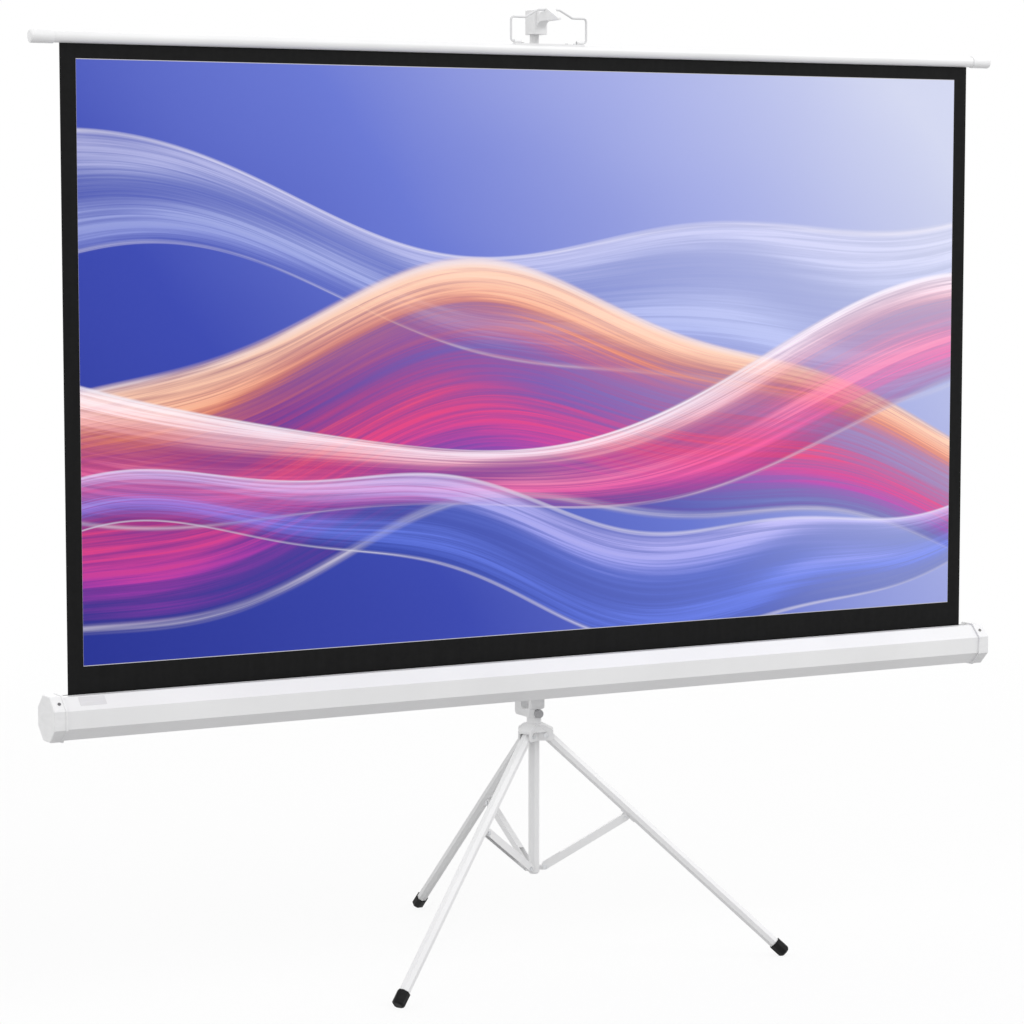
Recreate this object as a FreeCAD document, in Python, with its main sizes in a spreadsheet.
"""Projection screen on a tripod stand, each physical piece a solid of its own, in millimetres.

The floor is z = 0, the screen faces -Y and +X runs along it to the viewer's right. Every piece is drawn
round the pole's axis; at the end all are moved together so that the origin is the centre of the footprint.
"""
import FreeCAD, Part
import math
import os

import Sketcher
from FreeCAD import Placement, Rotation, Vector

SIZES = {
    "Screen": {
        "sheet_thickness": 0.5,
        "sheet_end_room": 46,
        "screen_setback": 64,
    },
    "Case": {
        "case_axis_height": 645,
        "case_axis_setback": 69,
        "case_length": 2376,
        "case_width": 90,
        "case_wall": 1.2,
        "slot_width": 9,
        "cap_wall": 2.4,
        "cap_end_wall": 4,
        "cap_skirt": 25,
        "cap_lip_height": 1.6,
        "cap_lip_width": 4,
        "cap_screw_diameter": 3.5,
        "cap_screw_head": 7,
        "cap_screw_head_height": 1.4,
        "cap_screw_length": 3.6,
        "cap_screw_inset": 12,
    },
    "Roller": {
        "roller_diameter": 38,
        "roller_wall": 1.5,
        "roll_thickness": 1,
        "roller_overhang": 4,
        "plug_depth": 30,
        "plug_flange": 3,
        "pin_diameter": 9,
        "bearing_thickness": 8,
        "bearing_floor": 2,
        "spindle_reach": 480,
        "spring_diameter": 24,
        "spring_length": 420,
    },
    "Pole": {
        "pole_width": 23,
        "pole_wall": 1.4,
        "pole_foot_height": 207,
        "pole_length": 1033,
        "plug_bottom_height": 188,
        "plug_diameter": 24.8,
        "plug_edge": 3,
        "plug_spigot": 33,
        "collar_width": 33,
        "collar_grip": 40,
        "collar_lip": 18,
        "extension_width": 19,
        "extension_wall": 1.2,
        "extension_overlap": 150,
        "glide_length": 10,
        "glide_spigot": 20,
        "slide_clearance": 0.15,
    },
    "Hook": {
        "hook_bottom_height": 2071,
        "hook_rise": 18.5,
        "hook_body_width": 34,
        "hook_body_rear": 14,
        "hook_body_front": 30,
        "hook_body_height": 59,
        "hook_socket": 28,
        "hook_arm_width": 22,
        "hook_arm_drop": 32,
        "hook_lip_height": 54,
        "hook_lip_thickness": 5,
        "hook_reach": 110,
        "hook_tip_thickness": 4,
        "hook_throat_radius": 20,
        "hook_edge": 4,
        "hook_ridge_drop": 6,
        "hook_tip_width": 9,
    },
    "Batten": {
        "batten_diameter": 24,
        "batten_wall": 1.5,
        "batten_overhang": 12,
        "batten_cap_diameter": 27.5,
        "batten_cap_length": 50,
        "batten_cap_end_wall": 6,
        "batten_cap_edge": 4,
        "hem_rod_diameter": 5,
        "hem_slit_width": 1.5,
        "bail_wire": 5,
        "bail_span": 190,
        "bail_shoulder_span": 120,
        "bail_saddle_span": 54,
        "bail_shoulder_rise": 53,
        "bail_rise": 70,
        "bail_bend": 7,
        "bail_foot": 20,
        "bail_lean": 18,
        "knuckle_diameter": 9,
        "knuckle_length": 17,
        "bail_plate_width": 14,
        "bail_plate_thickness": 2,
        "bail_screw_inner": 45,
        "bail_screw_outer": 66,
        "bail_screw_head": 7,
        "bail_screw_diameter": 3.5,
    },
    "Tripod": {
        "foot_lift": 9.9,
        "leg_width": 23,
        "leg_wall": 1.3,
        "leg_length": 733,
        "leg_head": 14,
        "leg_spigot": 26,
        "hip_radius": 28,
        "hip_height": 507,
        "hub_cheek": 4,
        "hub_lobe_radius": 12.5,
        "hub_lobe_edge": 6,
        "hub_hood_rise": 5.7,
        "hub_neck_diameter": 33,
        "hub_neck_top": 546,
        "hub_cone_top": 533,
        "hub_cone_diameter": 66,
        "hip_bolt_diameter": 6,
        "hip_bolt_head": 11,
        "hip_bolt_head_height": 3,
        "knee_distance": 262,
        "knee_drop": 7,
        "knee_base_length": 40,
        "knee_base_thickness": 2,
        "lug_radius": 6,
        "ankle_radius": 25,
        "ankle_height": 203,
        "brace_width": 14,
        "brace_wall": 1.4,
        "brace_above": 11,
        "brace_below": 6,
        "brace_fork": 47,
        "brace_fork_knee": 3,
        "rivet_diameter": 6,
        "rivet_head": 10,
        "rivet_head_height": 2,
        "foot_wall": 2.2,
        "foot_sleeve": 28,
        "foot_sole": 6,
        "foot_edge": 4,
    },
    "Carriage": {
        "carriage_width": 34,
        "carriage_front": 18,
        "carriage_rear": 20,
        "carriage_bottom": 566,
        "carriage_top": 700,
        "carriage_edge": 3,
        "carriage_plate": 10,
        "carriage_corner": 5,
        "carriage_head_height": 34,
        "carriage_collar_width": 31,
        "carriage_seat": 0.3,
        "swivel_plate_length": 130,
        "swivel_plate_height": 34,
        "swivel_plate_thickness": 3,
        "swivel_bolt_diameter": 8,
        "swivel_bolt_head": 16,
        "swivel_bolt_head_height": 5,
        "swivel_nut_width": 13,
        "swivel_nut_height": 4,
        "swivel_washer": 28,
        "swivel_rivet_pitch": 96,
        "swivel_rivet_diameter": 5,
        "knob_diameter": 19,
        "knob_length": 13,
        "knob_standoff": 0.8,
        "knob_flute_diameter": 4,
        "knob_edge": 2,
        "knob_stud_diameter": 6,
        "handle_depth": 61,
        "handle_width": 30,
        "handle_grip": 28,
        "handle_bar": 17,
        "handle_top": 690,
        "handle_bend": 9,
    },
    "Fits": {
        "seat_gap": 0.1,
        "running_gap": 0.3,
        "sheet_gap": 0.05,
    },
}

LEG_AZIMUTHS = {"front_left": 210, "front_right": 330, "rear": 90}
SIDES = {"left": -1, "right": 1}
OCTAGON_SIDES = 8
HEXAGON_SIDES = 6
KNOB_FLUTES = 10
OCTAGON_TURN = 180 / OCTAGON_SIDES
FACET_TURN = 2 * OCTAGON_TURN
FULL_TURN = 360
HALF = 1 / 2
FLUTE_SHARE = 1 / 4
NEAR = 1e-4
PARALLEL = 1 - 1e-6

doc = FreeCAD.newDocument("projection_screen")
sheet = doc.addObject("Spreadsheet::Sheet", "Sizes")


class Size:
    """A number together with the expression that works it out from the sheet's cells."""

    def __init__(self, value, text):
        self.value = value
        self.text = text

    def __add__(self, other):
        other = as_size(other)
        return Size(self.value + other.value, f"({self.text} + {other.text})")

    def __sub__(self, other):
        other = as_size(other)
        return Size(self.value - other.value, f"({self.text} - {other.text})")

    def __mul__(self, other):
        other = as_size(other)
        return Size(self.value * other.value, f"({self.text} * {other.text})")

    def __truediv__(self, other):
        other = as_size(other)
        return Size(self.value / other.value, f"({self.text} / {other.text})")

    def __neg__(self):
        return Size(-self.value, f"(0 - {self.text})")

    def __radd__(self, other):
        return as_size(other) + self

    def __rsub__(self, other):
        return as_size(other) - self

    def __rmul__(self, other):
        return as_size(other) * self


def as_size(number):
    return number if isinstance(number, Size) else Size(number, repr(number))


def sine(angle):
    return Size(math.sin(math.radians(angle.value)), f"sin({angle.text})")


def cosine(angle):
    return Size(math.cos(math.radians(angle.value)), f"cos({angle.text})")


def arc_cosine(ratio):
    return Size(math.degrees(math.acos(ratio.value)), f"acos({ratio.text})")


def write_sizes():
    """Fill the sheet, one row for each driving dimension, and return the aliases as Sizes."""
    sizes = {}
    row = 0
    for group, entries in SIZES.items():
        for alias, value in entries.items():
            row += 1
            sheet.set(f"A{row}", group)
            sheet.set(f"B{row}", str(value))
            sheet.setAlias(f"B{row}", alias)
            sizes[alias] = Size(value, f"Sizes.{alias}")
    doc.recompute()
    return sizes


class Driving:
    """The driving dimensions as attributes."""

    def __init__(self, sizes):
        self.__dict__.update(sizes)


d = Driving(write_sizes())

# Drawing helpers: each makes one object of the document and binds its sizes to the sheet.


def bind(thing, **sizes):
    for name, size in sizes.items():
        thing.setExpression(name, as_size(size).text)
    return thing


def move(thing, x, y, z):
    for axis, size in zip("xyz", (x, y, z)):
        thing.setExpression(f"Placement.Base.{axis}", as_size(size).text)
    return thing


AXIS_TURNS = {
    "X": Rotation(Vector(0, 1, 0), 90),
    "Y": Rotation(Vector(1, 0, 0), -90),
    "Z": Rotation(),
}


def block(x_range, y_range, z_range):
    """A box between two limits on each axis."""
    box = doc.addObject("Part::Box", "Block")
    lows = [as_size(low) for low, high in (x_range, y_range, z_range)]
    spans = [as_size(high) - low for low, high in (x_range, y_range, z_range)]
    bind(box, Length=spans[0], Width=spans[1], Height=spans[2])
    return move(box, *lows)


def rod(axis, start, diameter, length):
    cylinder = doc.addObject("Part::Cylinder", "Rod")
    bind(cylinder, Radius=diameter * HALF, Height=length)
    cylinder.Placement.Rotation = AXIS_TURNS[axis]
    return move(cylinder, *start)


def cone(start, bottom_diameter, top_diameter, height):
    frustum = doc.addObject("Part::Cone", "Cone")
    bind(frustum, Radius1=bottom_diameter * HALF, Radius2=top_diameter * HALF, Height=height)
    return move(frustum, *start)


def prism(axis, start, flats, length, sides=OCTAGON_SIDES):
    """A regular bar with flats facing along the other two axes."""
    bar = doc.addObject("Part::Prism", "Prism")
    bar.Polygon = sides
    turn = 180 / sides
    bind(bar, Circumradius=flats * HALF / cosine(Size(turn, repr(turn))), Height=length)
    bar.Placement.Rotation = AXIS_TURNS[axis] * Rotation(Vector(0, 0, 1), turn)
    return move(bar, *start)


def join(*things):
    fused = doc.addObject("Part::MultiFuse", "Join")
    fused.Shapes = list(things)
    return fused


def cut(base, *tools):
    remainder = doc.addObject("Part::Cut", "Cut")
    remainder.Base = base
    remainder.Tool = tools[0] if len(tools) == 1 else join(*tools)
    return remainder


def common(first, second):
    shared = doc.addObject("Part::Common", "Common")
    shared.Base = first
    shared.Tool = second
    return shared


def group(*things):
    compound = doc.addObject("Part::Compound", "Group")
    compound.Links = list(things)
    return compound


def turned(thing, placement):
    """The thing in another place: a group of one, so that its own bound place is kept."""
    holder = group(thing)
    holder.Placement = placement
    return holder


def profile(plane, points, thickness, corners=(), radius=None):
    """A body padded evenly both ways from an outline, with the named corners rounded."""
    body = doc.addObject("PartDesign::Body", "Body")
    outline = body.newObject("Sketcher::SketchObject", "Outline")
    support = [feature for feature in body.Origin.OriginFeatures if feature.Role == plane][0]
    outline.AttachmentSupport = [(support, "")]
    outline.MapMode = "FlatFace"
    points = [(as_size(x), as_size(y)) for x, y in points]
    flat = [Vector(x.value, y.value, 0) for x, y in points]
    for start, end in zip(flat, flat[1:] + flat[:1]):
        outline.addGeometry(Part.LineSegment(start, end), False)
    for index, (x, y) in enumerate(points):
        following = (index + 1) % len(points)
        outline.addConstraint(Sketcher.Constraint("Coincident", index, 2, following, 1))
        for kind, size in (("DistanceX", x), ("DistanceY", y)):
            number = outline.addConstraint(Sketcher.Constraint(kind, -1, 1, index, 1, size.value))
            outline.setExpression(f"Constraints[{number}]", size.text)
    pad = body.newObject("PartDesign::Pad", "Pad")
    pad.Profile = outline
    pad.Midplane = True
    bind(pad, Length=thickness)
    if corners:
        doc.recompute()
        to_world = outline.Placement
        places = [to_world.multVec(flat[corner]) for corner in corners]
        across = to_world.Rotation.multVec(Vector(0, 0, 1))
        names = []
        for number, edge in enumerate(pad.Shape.Edges, start=1):
            run = edge.tangentAt(edge.FirstParameter)
            if abs(run.dot(across)) < PARALLEL:
                continue
            middle = edge.CenterOfMass
            if any((middle - place).cross(across).Length < NEAR for place in places):
                names.append(f"Edge{number}")
        fillet = body.newObject("PartDesign::Fillet", "Fillet")
        fillet.Base = (pad, names)
        bind(fillet, Radius=radius)
    return body


def chamfered(thing, size, chosen):
    """Bevel the edges of a plain solid that the test picks."""
    doc.recompute()
    bevel = doc.addObject("Part::Chamfer", "Bevel")
    bevel.Base = thing
    picks = [number for number, edge in enumerate(thing.Shape.Edges, start=1) if chosen(edge)]
    bevel.Edges = [(number, size.value, size.value) for number in picks]
    return bevel


def rounded(thing, size, chosen):
    """Round the edges of a plain solid that the test picks."""
    doc.recompute()
    fillet = doc.addObject("Part::Fillet", "Round")
    fillet.Base = thing
    picks = [number for number, edge in enumerate(thing.Shape.Edges, start=1) if chosen(edge)]
    fillet.Edges = [(number, size.value, size.value) for number in picks]
    return fillet


def at_height(z):
    """A test for edges that lie level at one height."""
    return lambda edge: abs(edge.BoundBox.ZMin - z) < NEAR and abs(edge.BoundBox.ZMax - z) < NEAR


def tall_edge(height):
    """A test for upright edges of one height."""
    return lambda edge: abs(edge.BoundBox.ZLength - height) < NEAR


def at_x(x):
    return lambda edge: abs(edge.BoundBox.XMin - x) < NEAR and abs(edge.BoundBox.XMax - x) < NEAR


def at_y(y):
    return lambda edge: abs(edge.BoundBox.YMin - y) < NEAR and abs(edge.BoundBox.YMax - y) < NEAR


pieces = {}


def keep(name, thing, placement=Placement()):
    """Register a finished piece under the name of its file; a bound place is kept inside a group."""
    piece = group(thing) if thing.ExpressionEngine else thing
    piece.Label = name
    pieces[name] = (piece, placement)


# Levels and lines that several pieces share.

sheet_y = -d.screen_setback
case_y = -d.case_axis_setback
case_z = d.case_axis_height
case_top = case_z + d.case_width * HALF
sheet_width = d.case_length - 2 * d.sheet_end_room
bail_z = d.hook_bottom_height - d.hook_rise
knuckle_seat = bail_z - d.knuckle_diameter * HALF + d.running_gap
batten_z = knuckle_seat - d.bail_plate_thickness - d.batten_diameter * HALF
batten_length = d.case_length + 2 * d.batten_overhang
roll_radius = d.roller_diameter * HALF + d.roll_thickness
roller_y = sheet_y - d.sheet_thickness * HALF - d.sheet_gap - roll_radius
roller_length = sheet_width + 2 * d.roller_overhang
pole_top = d.pole_foot_height + d.pole_length
pole_bore = d.pole_width - 2 * d.pole_wall
case_rear = case_y + d.case_width * HALF
case_bore = d.case_width - 2 * d.case_wall
washer_front = case_rear + d.swivel_plate_thickness
carriage_front = -d.carriage_front
collar_bottom = d.hub_neck_top + d.carriage_seat
knob_z = (collar_bottom + d.carriage_bottom) * HALF
sleeve_width = d.pole_width + 2 * d.running_gap
extension_foot = pole_top - d.extension_overlap
leg_angle = arc_cosine((d.hip_height - d.foot_lift) / d.leg_length)


def roller_case():
    """The octagonal case with its slot, end caps and their screws."""
    half = d.case_length * HALF
    shell = cut(
        prism("X", (-half, case_y, case_z), d.case_width, d.case_length),
        prism("X", (-half, case_y, case_z), case_bore, d.case_length),
        block(
            (-half, half),
            (sheet_y - d.slot_width * HALF, sheet_y + d.slot_width * HALF),
            (case_top - 2 * d.case_wall, case_top + d.case_wall),
        ),
        rod("Y", (0, case_rear - 2 * d.case_wall, case_z), d.swivel_bolt_diameter, 3 * d.case_wall),
        *[swivel_rivet(side, d.seat_gap) for side in SIDES.values()],
        *[cap_screw_hole(side, slope) for side in SIDES.values() for slope in SIDES.values()],
    )
    keep("case_shell", shell)
    skirt_bore = d.case_width + 2 * d.seat_gap
    cap_width = skirt_bore + 2 * d.cap_wall
    for name, side in SIDES.items():
        outer = half + d.cap_end_wall
        inner = half - d.cap_skirt
        start = outer if side < 0 else inner
        body = join(
            prism("X", (side * start, case_y, case_z), cap_width, outer - inner),
            prism(
                "X",
                (side * (inner + (d.cap_lip_width if side < 0 else 0)), case_y, case_z),
                cap_width + 2 * d.cap_lip_height,
                d.cap_lip_width,
            ),
        )
        bore = prism(
            "X", (side * (half if side < 0 else inner), case_y, case_z), skirt_bore, d.cap_skirt
        )
        holes = [cap_screw_hole(side, slope) for slope in SIDES.values()]
        cap = cut(body, bore, *holes)
        keep(f"case_cap_{name}", chamfered(cap, d.cap_lip_height, at_x(side * outer.value)))
    screws = [cap_screw(side, slope) for side in SIDES.values() for slope in SIDES.values()]
    keep("case_cap_screws", group(*screws))


def facet_place(side, slope):
    """The middle of a cap's upper facet, front or rear, with local +Z pointing out of it."""
    half = d.case_length * HALF
    return Placement(
        Vector((side * (half - d.cap_screw_inset)).value, case_y.value, case_z.value),
        Rotation(Vector(1, 0, 0), -slope * FACET_TURN),
    )


def cap_facet():
    return d.case_width * HALF + d.seat_gap + d.cap_wall


def cap_screw_hole(side, slope):
    reach = cap_facet()
    width = d.cap_screw_diameter + 2 * d.seat_gap
    hole = rod("Z", (0, 0, reach - d.cap_screw_length), width, d.cap_screw_length)
    return turned(hole, facet_place(side, slope))


def cap_screw(side, slope):
    reach = cap_facet()
    start = reach - d.cap_screw_length + d.seat_gap
    shank = rod("Z", (0, 0, start), d.cap_screw_diameter, d.cap_screw_length)
    head = rod("Z", (0, 0, reach), d.cap_screw_head, d.cap_screw_head_height)
    return turned(join(shank, head), facet_place(side, slope))


def roller():
    """The spring roller: tube, plugs, spring on its fixed spindle, bearings and the wound remainder."""
    half = roller_length * HALF
    half_case = d.case_length * HALF
    bore = d.roller_diameter - 2 * d.roller_wall
    tube = cut(
        rod("X", (-half, roller_y, case_z), d.roller_diameter, roller_length),
        rod("X", (-half, roller_y, case_z), bore, roller_length),
    )
    keep("roller_tube", tube)
    wound = cut(
        rod("X", (-sheet_width * HALF, roller_y, case_z), 2 * roll_radius, sheet_width),
        rod("X", (-sheet_width * HALF, roller_y, case_z), d.roller_diameter + 2 * d.sheet_gap, sheet_width),
    )
    keep("wound_sheet", wound)

    plug_bore = d.pin_diameter + 2 * d.seat_gap
    plug_parts = {}
    for name, side in SIDES.items():
        inner_start = half if side < 0 else half - d.plug_depth
        flange_start = half + d.plug_flange if side < 0 else half
        plug_parts[name] = [
            rod("X", (side * inner_start, roller_y, case_z), bore - 2 * d.seat_gap, d.plug_depth),
            rod("X", (side * flange_start, roller_y, case_z), d.roller_diameter, d.plug_flange),
        ]
    spring_plug = cut(
        join(*plug_parts["left"]),
        rod("X", (-half - 2 * d.plug_flange, roller_y, case_z), plug_bore, 2 * d.plug_depth),
    )
    keep("roller_plug_left", spring_plug)
    pin_end = half_case - d.bearing_floor - d.running_gap
    pin = rod("X", (half, roller_y, case_z), d.pin_diameter, pin_end - half)
    keep("roller_plug_right", join(*plug_parts["right"], pin))

    spindle_length = d.spindle_reach + pin_end - half
    keep("spring_spindle", rod("X", (-pin_end, roller_y, case_z), d.pin_diameter, spindle_length))
    spring_start = -half + d.plug_depth + d.seat_gap
    spring = cut(
        rod("X", (spring_start, roller_y, case_z), d.spring_diameter, d.spring_length),
        rod("X", (spring_start, roller_y, case_z), plug_bore, d.spring_length),
    )
    keep("roller_spring", spring)
    for name, side in SIDES.items():
        start = half_case if side < 0 else half_case - d.bearing_thickness
        socket = half_case - d.bearing_floor if side < 0 else half_case - 2 * d.bearing_thickness
        plate = cut(
            prism("X", (side * start, case_y, case_z), case_bore - 2 * d.seat_gap, d.bearing_thickness),
            rod("X", (side * socket, roller_y, case_z), plug_bore, 2 * d.bearing_thickness - d.bearing_floor),
        )
        keep(f"roller_bearing_{name}", plate)


def screen_sheet():
    """The sheet from the roller up to the hem rod, with its black borders and backing."""
    half = sheet_width * HALF
    hem = batten_z - d.batten_diameter * HALF + d.batten_wall
    thickness = d.sheet_thickness * HALF
    keep("screen_sheet", block((-half, half), (sheet_y - thickness, sheet_y + thickness), (case_z, hem)))


def batten():
    """The top tube that stiffens the sheet, with its hem rod and end caps."""
    half = batten_length * HALF
    bore = d.batten_diameter - 2 * d.batten_wall
    screw_holes = [bail_screw_hole(side * reach) for side in SIDES.values() for reach in BAIL_SCREWS]
    tube = cut(
        rod("X", (-half, sheet_y, batten_z), d.batten_diameter, batten_length),
        rod("X", (-half, sheet_y, batten_z), bore, batten_length),
        block(
            (-half, half),
            (sheet_y - d.hem_slit_width * HALF, sheet_y + d.hem_slit_width * HALF),
            (batten_z - d.batten_diameter, batten_z),
        ),
        *screw_holes,
    )
    keep("batten_tube", tube)
    hem_z = batten_z - bore * HALF + d.hem_rod_diameter * HALF + d.sheet_gap
    keep("hem_rod", rod("X", (-sheet_width * HALF, sheet_y, hem_z), d.hem_rod_diameter, sheet_width))
    for name, side in SIDES.items():
        outer = half + d.batten_cap_end_wall
        inner = outer - d.batten_cap_length
        start = outer if side < 0 else inner
        bore_start = half if side < 0 else inner
        cap = cut(
            rod("X", (side * start, sheet_y, batten_z), d.batten_cap_diameter, d.batten_cap_length),
            rod(
                "X",
                (side * bore_start, sheet_y, batten_z),
                d.batten_diameter + 2 * d.seat_gap,
                half - inner,
            ),
        )
        keep(f"batten_cap_{name}", rounded(cap, d.batten_cap_edge, at_x(side * outer.value)))


BAIL_SCREWS = (d.bail_screw_inner, d.bail_screw_outer)


def bail_screw_hole(x):
    top = batten_z + d.batten_diameter * HALF
    width = d.bail_screw_diameter + 2 * d.seat_gap
    return rod("Z", (x, sheet_y, top - 2 * d.batten_wall), width, 4 * d.batten_wall)


def bail_mounting():
    """The plate on the batten whose knuckles hold the bail's feet, and its screws."""
    top = batten_z + d.batten_diameter * HALF
    half = d.bail_span * HALF - d.bail_bend - d.running_gap
    width = d.bail_plate_width * HALF
    saddle = cut(
        block(
            (-half, half),
            (sheet_y - width, sheet_y + width),
            (top - d.bail_plate_thickness, top + d.bail_plate_thickness),
        ),
        rod("X", (-half, sheet_y, batten_z), d.batten_diameter + 2 * d.sheet_gap, 2 * half),
    )
    barrels = []
    bores = []
    for side in SIDES.values():
        start = half if side < 0 else half - d.knuckle_length
        barrels.append(rod("X", (side * start, sheet_y, bail_z), d.knuckle_diameter, d.knuckle_length))
        bore = d.bail_wire + 2 * d.seat_gap
        bores.append(rod("X", (side * start, sheet_y, bail_z), bore, d.knuckle_length))
    holes = [bail_screw_hole(side * reach) for side in SIDES.values() for reach in BAIL_SCREWS]
    keep("bail_plate", cut(join(saddle, *barrels), *bores, *holes))
    screws = []
    seat = top + d.bail_plate_thickness
    for side in SIDES.values():
        for reach in BAIL_SCREWS:
            shank_start = top - 2 * d.batten_wall
            shank = rod("Z", (side * reach, sheet_y, shank_start), d.bail_screw_diameter, seat - shank_start)
            head = rod("Z", (side * reach, sheet_y, seat), d.bail_screw_head, d.bail_plate_thickness)
            screws.append(join(shank, head))
    keep("bail_screws", group(*screws))


def bent_path(corners, bend):
    """A path of straight runs joined by arcs of one bend radius."""
    edges = []
    start = corners[0]
    for corner, following in zip(corners[1:], corners[2:]):
        arriving = (corner - start).normalize()
        leaving = (following - corner).normalize()
        turn = arriving.getAngle(leaving)
        setback = bend * math.tan(turn * HALF)
        begin = corner - arriving * setback
        end = corner + leaving * setback
        inward = (leaving - arriving).normalize()
        centre = corner + inward * (bend / math.cos(turn * HALF))
        edges.append(Part.makeLine(start, begin))
        edges.append(Part.Arc(begin, centre - inward * bend, end).toShape())
        start = end
    edges.append(Part.makeLine(start, corners[-1]))
    return Part.Wire(edges)


def bail():
    """The wire bail: feet in the knuckles, upright legs, shoulders and the raised run on the hook."""
    y = sheet_y.value
    z = bail_z.value
    heights = [0, 0, d.bail_shoulder_rise.value, d.bail_shoulder_rise.value, d.bail_rise.value]
    foot = d.bail_span * HALF - d.bail_foot
    spans = [2 * foot, d.bail_span, d.bail_span, d.bail_shoulder_span, d.bail_saddle_span]
    right = [Vector(span.value * HALF, y, z + height) for span, height in zip(spans, heights)]
    left = [Vector(-point.x, point.y, point.z) for point in reversed(right)]
    path = bent_path(right + left, d.bail_bend.value)
    section = Part.Wire(Part.makeCircle(d.bail_wire.value * HALF, right[0], Vector(1, 0, 0)))
    wire = doc.addObject("Part::Feature", "Bail")
    wire.Shape = path.makePipeShell([section], True, False)
    keep("bail", wire)


def hook_head():
    """The moulded hook on top of the extension: body, forward arm, saddle for the bail and sloping tip."""
    bottom = d.hook_bottom_height
    arm_under = bottom + d.hook_arm_drop - d.hook_tip_thickness
    top = bottom + d.hook_body_height
    front = -d.hook_body_front
    wire_radius = d.bail_wire * HALF
    lip_rear = sheet_y - wire_radius - d.running_gap
    lip_front = lip_rear - d.hook_lip_thickness
    lip_top = bottom + d.hook_lip_height
    arm = profile(
        "YZ_Plane",
        [
            (0, top - d.hook_edge),
            (0, bottom),
            (front, bottom),
            (front, arm_under),
            (-d.hook_reach, arm_under),
            (-d.hook_reach, arm_under + d.hook_tip_thickness),
            (lip_front, lip_top),
            (front, lip_top + d.hook_edge * HALF),
        ],
        d.hook_arm_width,
        corners=(3,),
        radius=d.hook_throat_radius,
    )
    half = d.hook_body_width * HALF
    body = block((-half, half), (front, d.hook_body_rear), (bottom, top))
    body = rounded(body, d.hook_edge, tall_edge(d.hook_body_height.value))
    saddle_radius = d.bail_rise - wire_radius - d.running_gap
    lean = d.bail_rise * sine(d.bail_lean)
    saddle = cut(
        block(
            (-half, half),
            (lip_rear, sheet_y + lean + wire_radius + d.running_gap),
            (arm_under, top + d.hook_edge),
        ),
        rod("X", (-half, sheet_y, bail_z), 2 * saddle_radius, 2 * half),
    )
    socket = prism(
        "Z", (0, 0, bottom - d.hook_edge), d.extension_width + 2 * d.seat_gap, d.hook_socket + d.hook_edge
    )
    slopes = []
    for side in SIDES.values():
        tip = side * d.hook_tip_width * HALF
        root = side * d.hook_arm_width * HALF
        slopes.append(
            profile(
                "XY_Plane",
                [(tip, -d.hook_reach), (2 * root, -d.hook_reach), (2 * root, lip_front), (root, lip_front)],
                4 * bottom,
            )
        )
    ridge = profile(
        "XZ_Plane",
        [
            (-half, top - d.hook_ridge_drop),
            (0, top),
            (half, top - d.hook_ridge_drop),
            (half, top + d.hook_edge),
            (-half, top + d.hook_edge),
        ],
        4 * d.hook_reach,
    )
    keep("hook_head", cut(join(body, arm), saddle, socket, *slopes, ridge))


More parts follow.
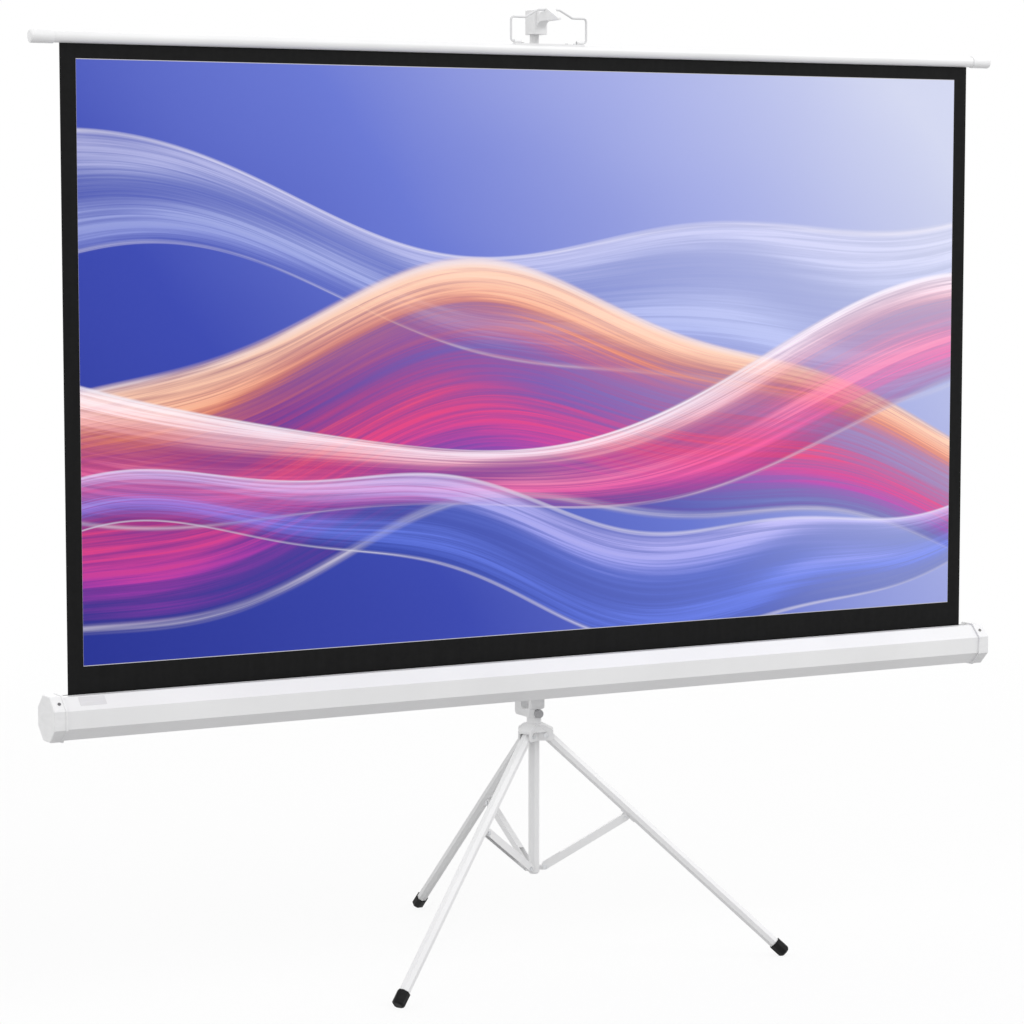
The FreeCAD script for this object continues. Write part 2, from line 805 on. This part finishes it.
def pole():
    """The outer tube, its foot plug with three lugs, the top collar and the sliding extension."""
    tube = cut(
        prism("Z", (0, 0, d.pole_foot_height), d.pole_width, d.pole_length),
        prism("Z", (0, 0, d.pole_foot_height), pole_bore, d.pole_length),
    )
    keep("pole_tube", tube)

    lug_width = d.brace_width - 2 * d.brace_wall - 2 * d.running_gap
    stem = rod("Z", (0, 0, d.plug_bottom_height), d.plug_diameter, d.pole_foot_height - d.plug_bottom_height)
    stem = chamfered(stem, d.plug_edge, at_height(d.plug_bottom_height.value))
    spigot = prism("Z", (0, 0, d.pole_foot_height), pole_bore - 2 * d.seat_gap, d.plug_spigot)
    lugs = []
    bores = []
    pins = []
    for azimuth in LEG_AZIMUTHS.values():
        ankle = rod("Y", (d.ankle_radius, -lug_width * HALF, d.ankle_height), 2 * d.lug_radius, lug_width)
        arm = block(
            (0, d.ankle_radius),
            (-lug_width * HALF, lug_width * HALF),
            (d.ankle_height - d.lug_radius, d.pole_foot_height),
        )
        turn = Placement(Vector(), Rotation(Vector(0, 0, 1), azimuth))
        lugs.append(turned(join(ankle, arm), turn))
        bore_start = (d.ankle_radius, -lug_width, d.ankle_height)
        bores.append(turned(rod("Y", bore_start, d.rivet_diameter + 2 * d.seat_gap, 2 * lug_width), turn))
        pin_start = (d.ankle_radius, -lug_width * HALF, d.ankle_height)
        pins.append(turned(rod("Y", pin_start, d.rivet_diameter, lug_width), turn))
    keep("pole_foot_plug", cut(join(stem, spigot, *lugs), *bores))
    keep("pole_foot_pins", group(*pins))

    collar_bottom_z = pole_top - d.collar_grip
    stud_z = pole_top + d.collar_lip * HALF
    collar = cut(
        prism("Z", (0, 0, collar_bottom_z), d.collar_width, d.collar_grip + d.collar_lip),
        prism("Z", (0, 0, collar_bottom_z), d.pole_width + 2 * d.seat_gap, d.collar_grip),
        prism("Z", (0, 0, pole_top), d.extension_width + 2 * d.running_gap, d.collar_lip),
        rod("Y", (0, 0, stud_z), d.knob_stud_diameter + 2 * d.seat_gap, d.collar_width),
    )
    rim = at_height((pole_top + d.collar_lip).value)
    bore_edge = (d.extension_width * HALF + d.running_gap).value

    def outer_rim(edge):
        middle = edge.CenterOfMass
        return rim(edge) and math.hypot(middle.x, middle.y) > bore_edge + NEAR

    keep("pole_top_collar", chamfered(collar, d.knob_edge, outer_rim))

    extension_length = d.hook_bottom_height + d.hook_socket - extension_foot
    extension_bore = d.extension_width - 2 * d.extension_wall
    extension = cut(
        prism("Z", (0, 0, extension_foot), d.extension_width, extension_length),
        prism("Z", (0, 0, extension_foot), extension_bore, extension_length),
    )
    keep("extension_tube", extension)
    glide_width = pole_bore - 2 * d.slide_clearance
    glide = join(
        prism("Z", (0, 0, extension_foot - d.glide_length), glide_width, d.glide_length),
        prism("Z", (0, 0, extension_foot), extension_bore - 2 * d.seat_gap, d.glide_spigot),
    )
    keep("extension_glide", glide)


def lock_knob(name, face, tip, z, outward):
    """A fluted clamp knob on a threaded stud, pointing outward along Y from a face."""
    grip_start = face + outward * d.knob_standoff
    length = d.knob_length

    def along(start, size):
        return start if outward > 0 else start - size

    grip = rod("Y", (0, along(grip_start, length), z), d.knob_diameter, length)
    grip_end = grip_start + outward * length
    grip = chamfered(grip, d.knob_edge, at_y(grip_end.value))
    flutes = []
    for number in range(KNOB_FLUTES):
        angle = as_size(FULL_TURN / KNOB_FLUTES * number)
        reach = d.knob_diameter * HALF + d.knob_flute_diameter * FLUTE_SHARE
        place = (reach * cosine(angle), along(grip_start, length), z + reach * sine(angle))
        flutes.append(rod("Y", place, d.knob_flute_diameter, length))
    keep(f"{name}_knob", cut(grip, *flutes))
    stud_length = d.knob_standoff + outward * (face - tip)
    keep(f"{name}_stud", rod("Y", (0, along(tip, stud_length), z), d.knob_stud_diameter, stud_length))


def hub():
    """The sliding tripod hub: neck, cone and three hooded lobes over the leg heads, with its pivot bolts."""
    slot_width = d.leg_width + 2 * d.running_gap
    lobe_width = slot_width + 2 * d.hub_cheek
    lobe_bottom = d.hip_height - d.hub_lobe_radius
    lobe_top = d.hip_height + d.hub_lobe_radius
    head_radius = d.leg_width * HALF
    head_reach = d.hip_radius + head_radius + d.running_gap
    hood_reach = head_reach + d.hub_cheek
    neck = rod("Z", (0, 0, lobe_bottom), d.hub_neck_diameter, d.hub_neck_top - lobe_bottom)
    skirt_start = lobe_top - d.hub_cheek
    skirt = cone((0, 0, skirt_start), d.hub_cone_diameter, d.hub_neck_diameter, d.hub_cone_top - skirt_start)
    lobes = []
    slots = []
    holes = []
    bolts = []
    for azimuth in LEG_AZIMUTHS.values():
        turn = Placement(Vector(), Rotation(Vector(0, 0, 1), azimuth))
        lobe = profile(
            "XZ_Plane",
            [
                (0, lobe_bottom),
                (hood_reach, lobe_bottom),
                (hood_reach, lobe_top),
                (d.hub_neck_diameter * HALF, d.hub_cone_top),
                (0, d.hub_cone_top),
            ],
            lobe_width,
            corners=(1, 2),
            radius=d.hub_lobe_edge,
        )
        lobes.append(turned(lobe, turn))
        socket = block(
            (d.hip_radius - head_radius - d.running_gap, head_reach),
            (-slot_width * HALF, slot_width * HALF),
            (lobe_bottom - d.hub_cheek, d.hip_height + head_radius + d.running_gap),
        )
        mouth = block(
            (d.hip_radius, 2 * d.hip_radius),
            (-slot_width * HALF, slot_width * HALF),
            (lobe_bottom - d.hub_cheek, d.hip_height + d.hub_hood_rise),
        )
        slots.append(turned(join(socket, mouth), turn))
        bolt_start = (d.hip_radius, -lobe_width * HALF, d.hip_height)
        hole_width = d.hip_bolt_diameter + 2 * d.seat_gap
        holes.append(turned(rod("Y", bolt_start, hole_width, lobe_width), turn))
        head_start = (d.hip_radius, -lobe_width * HALF - d.hip_bolt_head_height, d.hip_height)
        nut_start = (d.hip_radius, lobe_width * HALF, d.hip_height)
        bolt = join(
            rod("Y", bolt_start, d.hip_bolt_diameter, lobe_width),
            rod("Y", head_start, d.hip_bolt_head, d.hip_bolt_head_height),
            prism("Y", nut_start, d.hip_bolt_head, d.hip_bolt_head_height, HEXAGON_SIDES),
        )
        bolts.append(turned(bolt, turn))
    bore = prism("Z", (0, 0, lobe_bottom), sleeve_width, d.hub_neck_top - lobe_bottom)
    keep("tripod_hub", cut(join(neck, skirt, *lobes), bore, *slots, *holes))
    keep("hip_bolts", group(*bolts))


def leg_place(azimuth):
    """The leg's frame: origin on the hip pivot, +Z down the leg, +X out of its underside."""
    spin = Rotation(Vector(0, 0, 1), azimuth)
    hip = spin.multVec(Vector(d.hip_radius.value, 0, d.hip_height.value))
    return Placement(hip, spin * Rotation(Vector(0, 1, 0), 180 - leg_angle.value))


def knee_offset():
    return d.leg_width * HALF + d.knee_drop


def brace_line():
    """Length of the brace and its angle from upright, from the knee and ankle pivots."""
    angle = math.radians(leg_angle.value)
    along = d.knee_distance.value
    below = knee_offset().value
    knee_radius = d.hip_radius.value + along * math.sin(angle) - below * math.cos(angle)
    knee_height = d.hip_height.value - along * math.cos(angle) - below * math.sin(angle)
    out = knee_radius - d.ankle_radius.value
    up = knee_height - d.ankle_height.value
    return math.hypot(out, up), math.degrees(math.atan2(out, up))


def brace_place(azimuth):
    """The brace's frame: origin on the ankle pivot, +Z up the brace, -X out of its upper side."""
    spin = Rotation(Vector(0, 0, 1), azimuth)
    ankle = spin.multVec(Vector(d.ankle_radius.value, 0, d.ankle_height.value))
    return Placement(ankle, spin * Rotation(Vector(0, 1, 0), brace_line()[1]))


def leg(name, azimuth):
    """One leg: head in the hub, tube, knee lug and foot cap."""
    place = leg_place(azimuth)
    bore = d.leg_width - 2 * d.leg_wall
    head_radius = d.leg_width * HALF
    bolt_hole = rod("Y", (0, -d.leg_width, 0), d.hip_bolt_diameter + 2 * d.seat_gap, 2 * d.leg_width)
    envelope = join(
        rod("Y", (0, -d.leg_width, 0), d.leg_width, 2 * d.leg_width),
        block((-head_radius, head_radius), (-d.leg_width, d.leg_width), (0, d.leg_head)),
    )
    head = common(prism("Z", (0, 0, -head_radius), d.leg_width, head_radius + d.leg_head), envelope)
    spigot = prism("Z", (0, 0, d.leg_head), bore - 2 * d.seat_gap, d.leg_spigot)
    keep(f"leg_head_{name}", cut(join(head, spigot), bolt_hole), place)
    tube = cut(
        prism("Z", (0, 0, d.leg_head), d.leg_width, d.leg_length - d.leg_head),
        prism("Z", (0, 0, d.leg_head), bore, d.leg_length - d.leg_head),
    )
    keep(f"leg_tube_{name}", tube, place)

    lug_width = d.brace_width - 2 * d.brace_wall - 2 * d.running_gap
    flat_width = d.leg_width * (math.tan(math.radians(OCTAGON_TURN)))
    knee = (knee_offset(), -lug_width * HALF, d.knee_distance)
    lug = join(
        rod("Y", knee, 2 * d.lug_radius, lug_width),
        block(
            (head_radius, knee_offset()),
            (-lug_width * HALF, lug_width * HALF),
            (d.knee_distance - d.lug_radius, d.knee_distance + d.lug_radius),
        ),
        block(
            (head_radius, head_radius + d.knee_base_thickness),
            (-flat_width * HALF, flat_width * HALF),
            (d.knee_distance - d.knee_base_length * HALF, d.knee_distance + d.knee_base_length * HALF),
        ),
    )
    pin_start = (knee_offset(), -lug_width, d.knee_distance)
    pin_bore = rod("Y", pin_start, d.rivet_diameter + 2 * d.seat_gap, 2 * lug_width)
    keep(f"knee_lug_{name}", cut(lug, pin_bore), place)

    sleeve_start = d.leg_length - d.foot_sleeve
    sole = d.leg_length + d.foot_sole
    foot_bore = d.leg_width + 2 * d.seat_gap
    cap = prism("Z", (0, 0, sleeve_start), foot_bore + 2 * d.foot_wall, d.foot_sleeve + d.foot_sole)
    cap = chamfered(cap, d.foot_edge, at_height(sole.value))
    floor_reach = 2 * d.leg_length
    floor = block(
        (-floor_reach, floor_reach), (-floor_reach, floor_reach), (d.hip_height, d.hip_height + floor_reach)
    )
    floor = turned(floor, Placement(Vector(), Rotation(Vector(0, 1, 0), leg_angle.value)))
    socket = prism("Z", (0, 0, sleeve_start), foot_bore, d.foot_sleeve)
    keep(f"foot_cap_{name}", cut(cap, socket, floor), place)


def brace(name, azimuth):
    """One brace: an inverted channel with its knee pin and the rivet heads of its ankle."""
    place = brace_place(azimuth)
    length = Size(brace_line()[0], repr(brace_line()[0]))
    half = d.brace_width * HALF
    gap = half - d.brace_wall
    end = d.brace_below
    sides = profile(
        "XZ_Plane",
        [
            (end, -end),
            (end, length + end),
            (-end, length + end),
            (-d.brace_above, length),
            (-d.brace_above, 0),
            (-end, -end),
        ],
        d.brace_width,
        corners=(0, 1),
        radius=end,
    )
    fork = -d.brace_above - d.brace_wall
    channel = block((-d.brace_above + d.brace_wall, 2 * end), (-gap, gap), (-2 * end, length + 2 * end))
    fork_ankle = block((fork, 0), (-gap, gap), (-2 * end, d.brace_fork))
    fork_knee = block((fork, 0), (-gap, gap), (length - d.brace_fork_knee, length + 2 * end))
    holes = [
        rod("Y", (0, -half, level), d.rivet_diameter + 2 * d.seat_gap, d.brace_width) for level in (0, length)
    ]
    keep(f"brace_{name}", cut(sides, channel, fork_ankle, fork_knee, *holes), place)

    heads = []
    for side in SIDES.values():
        for level in (0, length):
            start = -half - d.rivet_head_height if side < 0 else half
            heads.append(rod("Y", (0, start, level), d.rivet_head, d.rivet_head_height))
    knee_pin = join(rod("Y", (0, -half, length), d.rivet_diameter, d.brace_width), heads[1], heads[3])
    stubs = []
    for head, side in ((heads[0], -1), (heads[2], 1)):
        start = -half if side < 0 else gap
        stubs.append(join(head, rod("Y", (0, start, 0), d.rivet_diameter, d.brace_wall)))
    keep(f"brace_rivets_{name}", group(knee_pin, *stubs), place)


def swivel_rivet(side, gap=0):
    """A rivet, or with a gap its hole, through the swivel plate and the back of the case."""
    length = d.swivel_plate_thickness + 2 * d.case_wall
    start = (side * d.swivel_rivet_pitch * HALF, case_rear - 2 * d.case_wall, case_z)
    return rod("Y", start, d.swivel_rivet_diameter + 2 * gap, length)


def carriage():
    """The carriage that holds the case on the pole, with its carrying handle, and the case's swivel joint."""
    half = d.carriage_width * HALF
    plate = profile(
        "XZ_Plane",
        [
            (-half, d.carriage_bottom),
            (half, d.carriage_bottom),
            (half, d.carriage_top),
            (-half, d.carriage_top),
        ],
        d.carriage_plate,
        corners=(0, 1),
        radius=d.carriage_corner,
    )
    plate = move(plate, 0, carriage_front + d.carriage_plate * HALF, 0)
    head_bottom = d.carriage_top - d.carriage_head_height
    head = block((-half, half), (carriage_front, d.carriage_rear), (head_bottom, d.carriage_top))
    head = rounded(head, d.carriage_edge, tall_edge(d.carriage_head_height.value))
    collar_height = d.carriage_bottom - collar_bottom
    sleeve_height = d.carriage_top - collar_bottom
    nut_rear = -sleeve_width * HALF
    nut_front = nut_rear - d.swivel_nut_height
    pocket_width = d.swivel_nut_width + 2 * d.seat_gap
    nut_pocket = prism(
        "Y", (0, nut_front, case_z), pocket_width, 2 * d.swivel_nut_height, HEXAGON_SIDES
    )
    bolt_width = d.swivel_bolt_diameter + 2 * d.seat_gap
    bolt_hole = rod("Y", (0, carriage_front, case_z), bolt_width, d.carriage_front)
    stud_hole = rod(
        "Y",
        (0, -d.carriage_collar_width, knob_z),
        d.knob_stud_diameter + 2 * d.seat_gap,
        d.carriage_collar_width,
    )
    sleeve = cut(
        join(
            plate,
            head,
            prism("Z", (0, 0, collar_bottom), d.carriage_collar_width, collar_height),
            handle(),
        ),
        prism("Z", (0, 0, collar_bottom), sleeve_width, sleeve_height),
        nut_pocket,
        bolt_hole,
        stud_hole,
    )
    keep("carriage_sleeve", sleeve)

    plate_half = d.swivel_plate_length * HALF
    plate_height = d.swivel_plate_height * HALF
    swivel_plate = block(
        (-plate_half, plate_half),
        (case_rear, washer_front),
        (case_z - plate_height, case_z + plate_height),
    )
    bolt_bore = rod("Y", (0, case_rear, case_z), bolt_width, d.swivel_plate_thickness)
    rivet_holes = [swivel_rivet(side, d.seat_gap) for side in SIDES.values()]
    keep("swivel_plate", cut(swivel_plate, bolt_bore, *rivet_holes))
    rivets = []
    for side in SIDES.values():
        start = (side * d.swivel_rivet_pitch * HALF, case_rear - 2 * d.case_wall, case_z)
        tail = rod("Y", (start[0], start[1], case_z), 2 * d.swivel_rivet_diameter, d.case_wall)
        head = rod("Y", (start[0], washer_front, case_z), 2 * d.swivel_rivet_diameter, d.case_wall)
        rivets.append(join(swivel_rivet(side), tail, head))
    keep("swivel_rivets", group(*rivets))
    washer_gap = carriage_front - washer_front
    washer = cut(
        rod("Y", (0, washer_front, case_z), d.swivel_washer, washer_gap),
        rod("Y", (0, washer_front, case_z), bolt_width, washer_gap),
    )
    keep("swivel_washer", washer)
    head_rear = case_rear - d.case_wall
    head_start = (0, head_rear - d.swivel_bolt_head_height, case_z)
    bolt = join(
        rod("Y", head_start, d.swivel_bolt_head, d.swivel_bolt_head_height),
        rod("Y", (0, head_rear, case_z), d.swivel_bolt_diameter - 2 * d.seat_gap, nut_rear - head_rear),
    )
    keep("swivel_bolt", bolt)
    nut = cut(
        prism("Y", (0, nut_front, case_z), d.swivel_nut_width, d.swivel_nut_height, HEXAGON_SIDES),
        rod("Y", (0, nut_front, case_z), d.swivel_bolt_diameter, d.swivel_nut_height),
    )
    keep("swivel_nut", nut)


def handle():
    """The carrying loop behind the pole, one piece with the carriage's collar and head."""
    inner = d.handle_depth - d.handle_grip
    bar_top = collar_bottom + d.handle_bar
    bar_bottom = d.handle_top - d.handle_bar
    return profile(
        "YZ_Plane",
        [
            (0, collar_bottom),
            (d.handle_depth, collar_bottom),
            (d.handle_depth, d.handle_top),
            (0, d.handle_top),
            (0, bar_bottom),
            (inner, bar_bottom),
            (inner, bar_top),
            (0, bar_top),
        ],
        d.handle_width,
        corners=(1, 2, 5, 6),
        radius=d.handle_bend,
    )


def build():
    roller_case()
    roller()
    screen_sheet()
    batten()
    bail_mounting()
    bail()
    hook_head()
    pole()
    stud_seat = d.extension_width * HALF + d.running_gap
    lock_knob("extension_lock", d.collar_width * HALF, stud_seat, pole_top + d.collar_lip * HALF, 1)
    hub()
    for name, azimuth in LEG_AZIMUTHS.items():
        leg(name, azimuth)
        brace(name, azimuth)
    carriage()
    pole_seat = d.pole_width * HALF + d.running_gap
    lock_knob("carriage_lock", -d.carriage_collar_width * HALF, -pole_seat, knob_z, -1)


def settle():
    """Put every piece in its place and move the whole so that the footprint's centre is the origin."""
    for thing, placement in pieces.values():
        thing.Placement = placement.multiply(thing.Placement)
    doc.recompute()
    whole = FreeCAD.BoundBox()
    for thing, placement in pieces.values():
        whole.add(thing.Shape.BoundBox)
    centre = Placement(Vector(0, -(whole.YMin + whole.YMax) * HALF, 0), Rotation())
    for thing, placement in pieces.values():
        thing.Placement = centre.multiply(thing.Placement)
    doc.recompute()


def check():
    for thing in doc.Objects:
        if "Up-to-date" not in thing.State:
            raise ValueError(f"{thing.Label} did not rebuild: {thing.State}")
    for name, (thing, placement) in pieces.items():
        if thing.Shape.isNull() or not thing.Shape.isValid() or not thing.Shape.Solids:
            raise ValueError(f"{name} has no sound solid")


build()
settle()
check()
os.makedirs("parts", exist_ok=True)
for name, (thing, placement) in pieces.items():
    thing.Shape.exportStep(f"parts/{name}.step")
